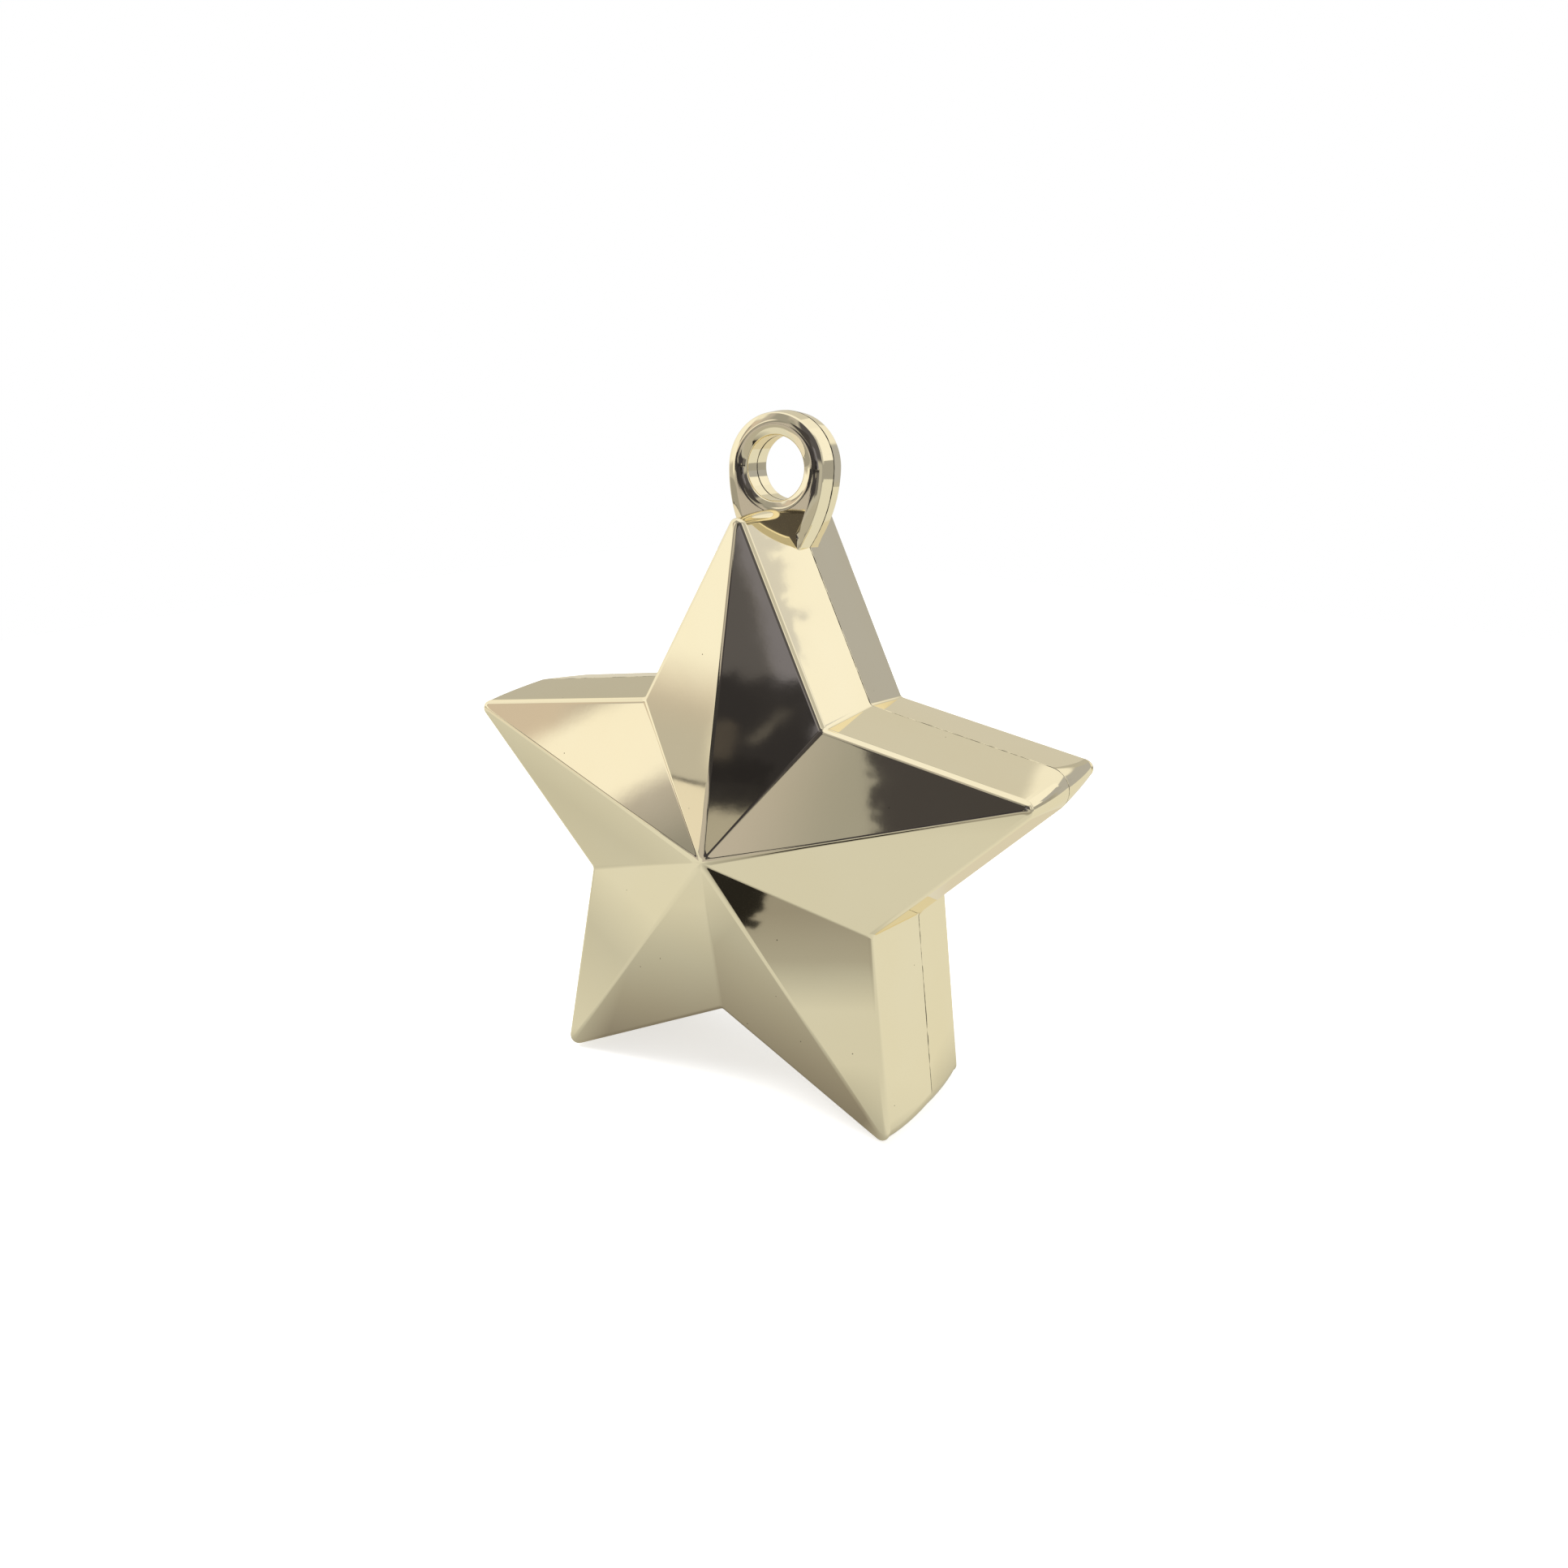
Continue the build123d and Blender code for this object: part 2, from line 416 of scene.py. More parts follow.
def arms_tree():
    """Node tree that sets copies of an arm round the star's centre, joins them and flattens the
    feet."""
    tree = bpy.data.node_groups.new("arms round the centre", "GeometryNodeTree")
    sockets = {
        "Arm": "NodeSocketGeometry",
        "Arms": "NodeSocketInt",
        "Centre Height": "NodeSocketFloat",
        "Join Distance": "NodeSocketFloat",
        "Material": "NodeSocketMaterial",
    }
    for name, kind in sockets.items():
        tree.interface.new_socket(name, in_out="INPUT", socket_type=kind)
    tree.interface.new_socket("Star", in_out="OUTPUT", socket_type="NodeSocketGeometry")
    given = add(tree, "NodeGroupInput").outputs
    points = add(tree, "GeometryNodeMeshLine", {"Count": given["Arms"], "Offset": (0, 0, 0)})
    turn = add(tree, "ShaderNodeMath", {0: math.tau, 1: given["Arms"]}, operation="DIVIDE")
    number = add(tree, "GeometryNodeInputIndex")
    angle = add(tree, "ShaderNodeMath", {
        0: number.outputs[0], 1: turn.outputs[0],
    }, operation="MULTIPLY")
    turned = add(tree, "ShaderNodeCombineXYZ", {"Y": angle.outputs[0]})
    copies = add(tree, "GeometryNodeInstanceOnPoints", {
        "Points": points.outputs[0], "Instance": given["Arm"], "Rotation": turned.outputs[0],
    })
    real = add(tree, "GeometryNodeRealizeInstances", {0: copies.outputs[0]})
    joined = add(tree, "GeometryNodeMergeByDistance", {
        "Geometry": real.outputs[0], "Distance": given["Join Distance"],
    })
    lift = add(tree, "ShaderNodeCombineXYZ", {"Z": given["Centre Height"]})
    lifted = add(tree, "GeometryNodeSetPosition", {
        "Geometry": joined.outputs[0], "Offset": lift.outputs[0],
    })
    position = add(tree, "GeometryNodeInputPosition")
    place = add(tree, "ShaderNodeSeparateXYZ", {0: position.outputs[0]})
    floor = add(tree, "ShaderNodeMath", {0: place.outputs["Z"], 1: 0.0}, operation="MAXIMUM")
    stood = add(tree, "ShaderNodeCombineXYZ", {
        "X": place.outputs["X"], "Y": place.outputs["Y"], "Z": floor.outputs[0],
    })
    feet = add(tree, "GeometryNodeSetPosition", {
        "Geometry": lifted.outputs[0], "Position": stood.outputs[0],
    })
    smooth = add(tree, "GeometryNodeSetShadeSmooth", {"Geometry": feet.outputs[0]})
    finished = add(tree, "GeometryNodeSetMaterial", {
        "Geometry": smooth.outputs[0], "Material": given["Material"],
    })
    add(tree, "NodeGroupOutput", {0: finished.outputs[0]})
    return tree


ARMS_TREE = arms_tree()


def make_plain(piece):
    """Puts what the modifiers give into the piece's own mesh, with the faces pointing outwards."""
    depsgraph = bpy.context.evaluated_depsgraph_get()
    mesh = bpy.data.meshes.new_from_object(piece.evaluated_get(depsgraph), depsgraph=depsgraph)
    piece.modifiers.clear()
    piece.data = mesh
    shape = bmesh.new()
    shape.from_mesh(mesh)
    if shape.calc_volume(signed=True) < 0:
        bmesh.ops.reverse_faces(shape, faces=shape.faces)
    shape.to_mesh(mesh)
    shape.free()


def star_piece(name, rows, side, material, closed=False):
    """A star of five arms as one plain mesh."""
    piece = new_object(name, arm_patch(name, rows, side, closed))
    modifier = piece.modifiers.new("arms", "NODES")
    modifier.node_group = ARMS_TREE
    values = {
        "Arms": ARMS,
        "Centre Height": CENTRE_HEIGHT * MM,
        "Join Distance": JOIN_DISTANCE * MM,
        "Material": material,
    }
    for item in ARMS_TREE.interface.items_tree:
        if item.in_out == "INPUT" and item.name in values:
            modifier[item.identifier] = values[item.name]
    make_plain(piece)
    return piece


def section_normal(angle):
    """Outward normal in a section of the wall, as (inset, depth): 0 points out sideways, a quarter
    turn forwards."""
    return Vector((-math.cos(angle), math.sin(angle)))


def rounded_corner(corner, radius, first, last, steps):
    """Points (inset, depth) of an arc that rounds a corner between faces with the normals at first
    and last."""
    start, end = section_normal(first), section_normal(last)
    centre = Vector(corner) - (start + end) * radius / (1 + start.dot(end))
    return [centre + section_normal(angle) * radius for angle in spread(first, last, steps)]


def facet_row(inset):
    """A row on the front facets. Ridges and valleys keep a narrow rounding, which runs out at the
    blunt apex."""
    left = EDGE_DISTANCE - inset
    drop = left if left > APEX_BLEND else (left ** 2 / APEX_BLEND + APEX_BLEND) / 2
    depth = SIDE_DEPTH + FACET_RISE - drop * math.tan(FACET_ANGLE)
    # The blunt point of an arm soon gives way to a narrow ridge, which widens again near the apex
    point = max(0, 1 - (inset - FRONT_INSET) / RIDGE_RUN) ** 2
    near_apex = max(0, 1 - left / APEX_REACH)
    ridge = (RIDGE_LINE + (RIDGE_ROUND - RIDGE_LINE) * point
             + (APEX_RIDGE - RIDGE_LINE) * near_apex)
    inwards = (inset - FRONT_INSET) / (EDGE_DISTANCE - FRONT_INSET)
    valley = NOTCH_ROUND + (APEX_VALLEY - NOTCH_ROUND) * inwards
    return Row(depth, inset, min(ridge, MOST_RIDGE * left), min(valley, MOST_VALLEY * left))


def wall_tip_round(depth):
    """Rounding of an arm's end in the side wall. It grows faster near the seam, so the blunt end
    bulges a little."""
    to_seam = 1 - depth / SIDE_DEPTH
    return RIDGE_ROUND + (SEAM_TIP_ROUND - RIDGE_ROUND) * to_seam ** TIP_BULGE


def outside_rows():
    """Rows of a half shell from the apex out to the rim: facets, rounded edge, drafted wall,
    rounded seam edge."""
    facet_normal = math.pi / 2 - FACET_ANGLE
    edge = rounded_corner((FRONT_INSET, SIDE_DEPTH), EDGE_ROUND, facet_normal, DRAFT, EDGE_STEPS)
    rows = [facet_row(EDGE_DISTANCE - APEX_BLEND * share) for share in APEX_ROWS]
    rows += [facet_row(edge[0].x + RIDGE_RUN * share) for share in POINT_ROWS]
    tip_rounds = spread(rows[-1].tip_round, wall_tip_round(edge[-1].y), EDGE_STEPS)
    for point, tip_round in list(zip(edge, tip_rounds))[1:]:
        rows.append(Row(point.y, point.x, tip_round, NOTCH_ROUND))
    seam = rounded_corner((0, 0), SEAM_ROUND, DRAFT, -math.pi / 2, SEAM_STEPS)
    for point in spread(edge[-1], seam[0], WALL_STEPS)[1:-1]:
        rows.append(Row(point.y, point.x, wall_tip_round(point.y), NOTCH_ROUND))
    for point in seam:
        rows.append(Row(point.y, point.x, SEAM_TIP_ROUND - point.x, NOTCH_ROUND + point.x))
    return rows


def rim_row(depth, inset):
    """A row in or beside the rim, whose corners stay at an even distance from the outline."""
    return Row(depth, inset, max(TIP_ROUND - inset, LEAST_ROUND), NOTCH_ROUND + inset)


def half_star_rows(inset):
    """Rows of the half star whose faces are all moved inwards by inset, from the rim in to its
    apex."""
    side_depth = SIDE_DEPTH - inset * (1 / math.cos(FACET_ANGLE) - math.tan(FACET_ANGLE))
    front_inset = inset + side_depth * math.tan(DRAFT)
    apex_depth = side_depth + (EDGE_DISTANCE - front_inset) * math.tan(FACET_ANGLE)
    front_round = max(RIDGE_ROUND - inset, LEAST_ROUND)
    return [
        rim_row(0, inset),
        Row(side_depth, front_inset, front_round, NOTCH_ROUND + inset),
        Row(apex_depth, EDGE_DISTANCE, 0, 0),
    ]


def shell_rows(step_inset, step_depth):
    """Rows of a whole half shell. The step in its rim is the tongue (depth below 0) or the
    rebate."""
    hollow = half_star_rows(WALL)
    step_end = WALL + max(step_depth, 0) * math.tan(DRAFT)
    step = [
        rim_row(0, step_inset),
        rim_row(step_depth, step_inset),
        rim_row(step_depth, step_end),
    ]
    # The rebate ends on the wall of the hollow, so only the tongue goes back to the rim
    return outside_rows() + step + (hollow if step_depth < 0 else hollow[1:])


# Ribbon ring

RingColumn = namedtuple("RingColumn", "place outward to_bore")


def ring_columns():
    """Columns round the ring: over the crown, down both sides of the neck, and inside the wall of
    the top arm."""
    centre = Vector((0, RING_HEIGHT))
    narrowing = RING_RADIUS - NECK_HALF_WIDTH
    neck_radius = (NECK_LENGTH ** 2 + narrowing ** 2) / (2 * narrowing)
    neck_centre = Vector((RING_RADIUS - neck_radius, RING_HEIGHT))
    sunk = rim_row(0, NECK_SUNK * WALL)
    sunk_edge = EDGE_DISTANCE - sunk.inset
    # Down the neck until its side is as deep in the arm's wall as the sunk row
    for angle in spread(math.pi / 2, math.pi, NECK_SEARCH_STEPS):
        place = neck_centre + heading(angle) * neck_radius
        if place.dot(heading(math.pi / 2 - HALF_TIP)) < sunk_edge:
            break
        last_angle = angle
    right = []
    for angle in spread(0, math.pi / 2, RING_STEPS // 2)[:-1]:
        right.append((centre + heading(angle) * RING_RADIUS, heading(angle)))
    neck_angles = spread(math.pi / 2, last_angle, NECK_STEPS)
    for share, angle in zip(spread(0, 1, NECK_STEPS), neck_angles):
        place = neck_centre + heading(angle) * neck_radius
        right.append((place, heading(angle) * min(1, NECK_FADE * (1 - share))))
    for column in [("tip", 0, s) for s in spread(1, 0, TIP_STEPS // 2)]:
        right.append((outline_point(sunk, column), Vector((0, 0))))
    left = [(Vector((-p.x, p.y)), Vector((-n.x, n.y))) for p, n in reversed(right[1:-1])]
    return [RingColumn(p, n, (p - centre).normalized()) for p, n in right + left]


def ring_half(name, side):
    """Half of the ribbon ring as a closed mesh: outer wall, narrow edge, crowned face, narrow edge,
    bore and seam face."""
    centre = Vector((0, RING_HEIGHT))
    reach = (RING_RADIUS - RING_HALF_THICKNESS * math.tan(DRAFT) - BORE_RADIUS) / 2
    crown = reach * math.tan(RING_CROWN) / CROWN_POWER
    edge_depth = RING_HALF_THICKNESS - crown
    edge_inset = edge_depth * math.tan(DRAFT)
    edge_normal = math.pi / 2 - RING_CROWN
    over = []
    for away in spread(CROWN_START * RING_LINE, reach, CROWN_STEPS):
        drop = crown * (1 - away / reach) ** CROWN_POWER
        over.append(Vector((away, RING_HALF_THICKNESS - drop)))
    outer = rounded_corner((0, 0), SEAM_ROUND, -math.pi / 2, DRAFT, SEAM_STEPS)
    outer += rounded_corner((edge_inset, edge_depth), RING_LINE, DRAFT, edge_normal, EDGE_STEPS)
    outer += [point + Vector((edge_inset, 0)) for point in over]
    bore = list(reversed(over))
    bore += rounded_corner((0, edge_depth), RING_LINE, edge_normal, 0, EDGE_STEPS)
    bore += rounded_corner((0, 0), SEAM_ROUND, 0, -math.pi / 2, SEAM_STEPS)
    columns = ring_columns()
    shape = bmesh.new()
    loops = []
    for inset, depth in outer:
        points = [c.place - c.outward * inset for c in columns]
        loops.append([shape.verts.new(placed(point, depth, side)) for point in points])
    for inset, depth in bore:
        points = [centre + c.to_bore * (BORE_RADIUS + inset) for c in columns]
        loops.append([shape.verts.new(placed(point, depth, side)) for point in points])
    for first, second in zip(loops, loops[1:] + loops[:1]):
        for i in range(len(columns)):
            j = (i + 1) % len(columns)
            shape.faces.new((first[i], first[j], second[j], second[i]))
    bmesh.ops.translate(shape, verts=shape.verts, vec=(0, 0, CENTRE_HEIGHT * MM))
    bmesh.ops.recalc_face_normals(shape, faces=shape.faces)
    for face in shape.faces:
        face.smooth = True
    return new_object(name, mesh_of(name, shape))


def soften(piece, most):
    """Normals that stay exact on flat faces and turn evenly over roundings: at each corner, the
    mean by area of the faces there that lie within most degrees."""
    mesh = piece.data
    around = [[] for _ in mesh.vertices]
    for face in mesh.polygons:
        for vertex in face.vertices:
            around[vertex].append(face)
    least = math.cos(math.radians(most))
    normals = []
    for face in mesh.polygons:
        for vertex in face.vertices:
            near = [f.normal * f.area for f in around[vertex] if f.normal.dot(face.normal) > least]
            normals.append(sum(near, Vector()).normalized())
    mesh.normals_split_custom_set(normals)


def shell(name, side, step_inset, step_depth, material):
    """A half shell of the star, with its half of the ribbon ring joined on."""
    piece = star_piece(name, shell_rows(step_inset, step_depth), side, material)
    ring = ring_half(name + "_ring", side)
    ring.data.materials.append(material)
    union = piece.modifiers.new("ring", "BOOLEAN")
    union.object = ring
    union.operation = "UNION"
    union.solver = "MANIFOLD"
    make_plain(piece)
    bpy.data.objects.remove(ring)
    soften(piece, SOFTEN)
    return piece


def ballast(name, side, material):
    """Mortar that fills a half shell, its struck face a little hollow with a rounded edge."""
    rim, front, apex = half_star_rows(WALL + BALLAST_CLEARANCE)
    edge = (rim.inset + BALLAST_BELOW_RIM * math.tan(DRAFT), BALLAST_BELOW_RIM)
    rows = [apex, front]
    for point in rounded_corner(edge, STRUCK_EDGE_ROUND, DRAFT, -math.pi / 2, SEAM_STEPS):
        rows.append(rim._replace(depth=point.y, inset=point.x))
    for share in STRUCK_ROWS:
        depth = BALLAST_BELOW_RIM + STRUCK_DIP * math.sin(share * math.pi / 2)
        inset = rows[-1].inset + (EDGE_DISTANCE - rows[-1].inset) * share
        left = 1 - share
        rows.append(Row(depth, inset, rim.tip_round * left, rim.notch_round * left))
    piece = star_piece(name, rows, side, material)
    soften(piece, SOFTEN)
    return piece


def bead(name, material):
    """Adhesive between the end of the tongue and the floor of the rebate: a band with rounded
    corners."""
    low, high = TONGUE_HEIGHT, REBATE_DEPTH
    outer, inner = TONGUE_INSET, WALL
    rows = []
    for turn, corner in enumerate(((outer, high), (inner, high), (inner, low), (outer, low))):
        first, last = turn * math.pi / 2, (turn + 1) * math.pi / 2
        for point in rounded_corner(corner, BEAD_ROUND, first, last, SEAM_STEPS):
            rows.append(rim_row(point.y, point.x))
    piece = star_piece(name, rows, 1, material, closed=True)
    soften(piece, BEAD_SOFTEN)
    return piece


plating = plated_abs()
mortar = cast_mortar()
adhesive = cured_adhesive()
front_shell = shell("front_shell_plated", -1, TONGUE_INSET, -TONGUE_HEIGHT, plating)
back_shell = shell("back_shell_plated", 1, REBATE_INSET, REBATE_DEPTH, plating)

# Each piece with the solid that it stands for and its finish
pieces = (
    (front_shell, "front_shell", "plated_plastic"),
    (back_shell, "back_shell", "plated_plastic"),
    (ballast("front_ballast_cast", -1, mortar), "front_ballast", "mortar"),
    (ballast("back_ballast_cast", 1, mortar), "back_ballast", "mortar"),
    (bead("seam_adhesive_bead", adhesive), "seam_adhesive", "adhesive"),
)
for piece, solid, finish in pieces:
    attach(piece, "root")
    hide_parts(solid)


# Studio: what the mirror faces see is a tent of soft-edged cards, which only mirrors show

STAR_CENTRE = Vector((0, 0, CENTRE_HEIGHT)) * MM

# Tent in metres, and how its cards' cut edges stray: over about 0.8 degrees, and by how many
# degrees from end to end
TENT_RADIUS = 4.0
TENT_DIVISIONS = 4
STRAY_SCALE = 70.0
STRAY_REACH = 5.0

# Floor and paper, in millimetres, and how much the floor is lifted towards white
SHEET_LOW = (-350, -160)
SHEET_HIGH = (450, 500)
PAPER_HEIGHT = 0.02
FLOOR_LIFT = 0.6

# Light of the world on all that isn't a mirror
WORLD_LIGHT = 0.5

# Directions in degrees from the star's centre: azimuth 0 is straight out of the front facets and
# grows to the star's right, elevation is up from level. Lean is how far a card leans to the right
# for each degree that it rises, and wander how far its edges stray from straight. A later card
# covers an earlier one.
Card = namedtuple("Card", "azimuth elevation half_width half_height lean soft wander paint")
TENT_PAINT = "#BCBCBC"
CARDS = {
    "ceiling cloth": Card(0, 74, 180, 28, 0, 8, 0, "#FCFCFC"),
    "left cloth": Card(-98, 18, 31, 28, 0, 8, 0, "#F9F8F6"),
    "left cloth, upper": Card(-58, 36, 12, 11, 0, 6, 0, "#F4F3F0"),
    "left screen": Card(-56, -2, 13, 26, 0, 3, 0, "#D3C8C3"),
    "front screen": Card(-28, 12, 15, 35, 0, 3, 0, "#BEBABC"),
    "front screen, left shade": Card(-36, 8, 4.3, 20, 0.85, 5, 0, "#959595"),
    "front screen, right shade": Card(-18.5, 14, 3.2, 20, 0, 5, 0, "#A5A5A4"),
    "front screen, upper shade": Card(-30, 31, 8, 11, 0, 6, 0, "#A2A2A3"),
    "left screen, low": Card(-62, -5, 18, 3, 0, 4, 0, "#C2C0BE"),
    "left screen, foot": Card(-60, -14, 18, 8.3, 0, 0.5, 0, "#A2A1A0"),
    "left lamp": Card(-39.9, 14, 2.6, 8, 0.85, 1.4, 0, "#FFFDFA"),
    "left lamp, low": Card(-56, 1.5, 5, 6, 0, 1.5, 0, "#FDFBF4"),
    "left screen, shade": Card(-54.5, 13, 3.5, 6, 0, 3, 0, "#949494"),
    "far left lamp": Card(-63, 14, 8, 15.2, 0, 3, 0, "#FFFFFD"),
    "rear cloth": Card(174, 38.5, 18, 22.5, 0, 3, 0, "#F8F8F8"),
    "rear screen": Card(-155, 18, 14.1, 19, 0, 0.8, 0, "#D4D4D4"),
    "rear left screen": Card(-139, 4, 9, 16, 0, 4, 0, "#C0C0C0"),
    "right rear screen": Card(165, 4.5, 12, 11, 0, 2, 0, "#B6B8C2"),
    "right screen": Card(72, 30, 37, 24, 0, 6, 0, "#C5C5C5"),
    "right screen, low": Card(94, -7, 58, 17, 0, 8, 0, "#A6A6A8"),
    "side lamp": Card(121, 28, 15, 18, 0, 8, 0, "#F6F6F8"),
    "right rear lamp": Card(153, 27, 13, 17.5, 0.6, 0.8, 0, "#FFFFFF"),
    "right rear lamp, foot": Card(151, 11, 6.3, 5.2, 0, 1, 0, "#B2B4BE"),
    "right rear lamp, dim end": Card(141.6, 28.5, 6, 8.3, 0.6, 0.4, 0.7, "#DADBE2"),
    "lamp tube": Card(46, 25, 4, 12, 0, 1, 0, "#FFFFFF"),
    "grey column": Card(13, 21, 24, 16, 0, 5, 0, "#57565F"),
    "dark flag": Card(-8.5, 16.3, 10.15, 7.2, -0.38, 0.25, 0.55, "#47454A"),
    "dark flag, left": Card(-19.5, 3.8, 6, 4.2, 0, 1, 0.3, "#403E46"),
    "dark flag, low": Card(-4.2, -0.5, 10.2, 9, 0, 1, 0.3, "#403E46"),
    "dark flag, foot": Card(8.7, -6, 3.7, 4.5, 0, 1, 0.3, "#6E6D72"),
    "dark flag, right": Card(1, 9, 3.4, 9.5, 0, 0.6, 0.2, "#5A5962"),
    "grey flag": Card(4.4, 6, 2.7, 7, -0.4, 0.3, 0.1, "#6C6B76"),
    "blue-grey flag": Card(4.6, 6, 2.6, 7, -0.4, 0.3, 0.1, "#7C7C8E"),
    "dark folds": Card(0.8, 0.7, 4, 3, 0, 0.4, 0.3, "#323137"),
    "grey fold": Card(0.8, 0.9, 0.5, 0.8, 0, 0.3, 0.2, "#4F4B4C"),
    "light fold": Card(2.7, 1.7, 0.3, 0.7, 1, 0.3, 0.2, "#575558"),
    "black hem": Card(0, -1, 3, 1.2, 0, 0.3, 0.3, "#28272C"),
    "light strip": Card(1, -3.3, 1.6, 1.25, 0, 0.2, 0.2, "#AEABA6"),
    "front sheet": Card(0, -31, 45, 18, 0, 2, 0, "#B8B6B2"),
}


def direction(azimuth, elevation):
    """Unit vector from the star, by the degrees that the cards use."""
    turn, rise = math.radians(azimuth), math.radians(elevation)
    level = math.cos(rise)
    return Vector((math.sin(turn) * level, -math.cos(turn) * level, math.sin(rise)))


def card_group():
    """Node group that lays one soft-edged card over what is below it."""
    tree = bpy.data.node_groups.new("card", "ShaderNodeTree")
    for name in ("Azimuth", "Elevation", "Stray Aside", "Stray Up") + Card._fields[:-1]:
        tree.interface.new_socket(name, in_out="INPUT", socket_type="NodeSocketFloat")
    for name in ("paint", "Below"):
        tree.interface.new_socket(name, in_out="INPUT", socket_type="NodeSocketColor")
    tree.interface.new_socket("Shown", in_out="OUTPUT", socket_type="NodeSocketColor")
    given = add(tree, "NodeGroupInput").outputs
    half_soft = add(tree, "ShaderNodeMath", {0: given["soft"], 1: 0.5}, operation="MULTIPLY")
    # How far from the card's middle, upwards and aside
    offsets = []
    for way, middle, stray in (
        ("Elevation", "elevation", "Stray Up"),
        ("Azimuth", "azimuth", "Stray Aside"),
    ):
        strayed = add(tree, "ShaderNodeMath", {
            0: given[stray], 1: given["wander"], 2: given[way],
        }, operation="MULTIPLY_ADD")
        away = add(tree, "ShaderNodeMath", {
            0: strayed.outputs[0], 1: given[middle],
        }, operation="SUBTRACT")
        offsets.append(away.outputs[0])
    rise, aside = offsets
    leant = add(tree, "ShaderNodeMath", {0: rise, 1: given["lean"]}, operation="MULTIPLY")
    upright = add(tree, "ShaderNodeMath", {0: aside, 1: leant.outputs[0]}, operation="SUBTRACT")
    around = add(tree, "ShaderNodeMath", {
        0: upright.outputs[0], 1: 180.0, 2: -180.0,
    }, operation="WRAP")
    # Full inside the soft edge and nothing outside it
    shares = []
    for offset, half in ((around.outputs[0], "half_width"), (rise, "half_height")):
        away = add(tree, "ShaderNodeMath", {0: offset}, operation="ABSOLUTE")
        edges = {0: given[half], 1: half_soft.outputs[0]}
        full = add(tree, "ShaderNodeMath", edges, operation="SUBTRACT")
        none = add(tree, "ShaderNodeMath", edges, operation="ADD")
        shares.append(add(tree, "ShaderNodeMapRange", {
            "Value": away.outputs[0], "From Min": full.outputs[0], "From Max": none.outputs[0],
            "To Min": 1.0, "To Max": 0.0,
        }, interpolation_type="SMOOTHSTEP").outputs[0])
    cover = add(tree, "ShaderNodeMath", {0: shares[0], 1: shares[1]}, operation="MULTIPLY")
    shown = add(tree, "ShaderNodeMix", {
        SHARE: cover.outputs[0], FIRST: given["Below"], SECOND: given["paint"],
    }, data_type="RGBA")
    add(tree, "NodeGroupOutput", {0: shown.outputs[MIXED]})
    return tree


def tent_cloth():
    """Evenly lit cloth and card, painted by direction, with cut edges that wander a little."""
    material, tree = new_material("tent cloth and cards")
    place = add(tree, "ShaderNodeTexCoord").outputs["Object"]
    way = add(tree, "ShaderNodeVectorMath", {0: place}, operation="NORMALIZE").outputs[0]
    axes = add(tree, "ShaderNodeSeparateXYZ", {0: way}).outputs
    forwards = add(tree, "ShaderNodeMath", {0: axes["Y"], 1: -1.0}, operation="MULTIPLY")
    azimuth = add(tree, "ShaderNodeMath", {
        0: axes["X"], 1: forwards.outputs[0],
    }, operation="ARCTAN2")
    elevation = add(tree, "ShaderNodeMath", {0: axes["Z"]}, operation="ARCSINE")
    noise = add(tree, "ShaderNodeTexNoise", {
        "Vector": way, "Scale": STRAY_SCALE, "Detail": 4.0, "Roughness": 0.6,
    })
    stray = add(tree, "ShaderNodeVectorMath", {
        0: noise.outputs["Color"], 1: (STRAY_REACH,) * 3, 2: (-STRAY_REACH / 2,) * 3,
    }, operation="MULTIPLY_ADD")
    strays = add(tree, "ShaderNodeSeparateXYZ", {0: stray.outputs[0]}).outputs
    azimuth = add(tree, "ShaderNodeMath", {0: azimuth.outputs[0]}, operation="DEGREES")
    elevation = add(tree, "ShaderNodeMath", {0: elevation.outputs[0]}, operation="DEGREES")
    seen = {
        "Azimuth": azimuth.outputs[0],
        "Elevation": elevation.outputs[0],
        "Stray Aside": strays["X"],
        "Stray Up": strays["Y"],
    }
    group = card_group()
    shown = linear(TENT_PAINT)
    for name, card in CARDS.items():
        values = {**seen, **card._asdict(), "paint": linear(card.paint), "Below": shown}
        shown = add(tree, "ShaderNodeGroup", values, node_tree=group, label=name).outputs[0]
    glow = add(tree, "ShaderNodeEmission", {"Color": shown})
    add(tree, "ShaderNodeOutputMaterial", {"Surface": glow.outputs[0]})
    return material


def only_mirrors_show(card):
    """A stage object that only mirror faces see."""
    card.visible_camera = False
    card.visible_diffuse = False
    card.visible_transmission = False
    card.visible_shadow = False


def tent():
    """The round tent, with the star at its middle."""
    shape = bmesh.new()
    bmesh.ops.create_icosphere(shape, subdivisions=TENT_DIVISIONS, radius=TENT_RADIUS)
    mesh = mesh_of("tent", shape)
    mesh.materials.append(tent_cloth())
    made = new_object("tent", mesh)
    made.location = STAR_CENTRE
    only_mirrors_show(made)


def bent_sheet(name, azimuths, edges, paint):
    """A sheet bent round the star, nearer than the tent, so the ring sees it lower down than the
    facets do. Each of its two edges has a distance from the star and a height over the floor, in
    millimetres."""
    material, tree = new_material(name)
    glow = add(tree, "ShaderNodeEmission", {"Color": linear(paint)})
    add(tree, "ShaderNodeOutputMaterial", {"Surface": glow.outputs[0]})
    points = []
    for azimuth in spread(*azimuths, BEND_STEPS):
        outwards = direction(azimuth, 0)
        points += [(outwards * far + Vector((0, 0, height))) * MM for far, height in edges]
    faces = [(i, i + 1, i + 3, i + 2) for i in range(0, 2 * BEND_STEPS, 2)]
    mesh = bpy.data.meshes.new(name)
    mesh.from_pydata(points, [], faces)
    mesh.materials.append(material)
    only_mirrors_show(new_object(name, mesh))


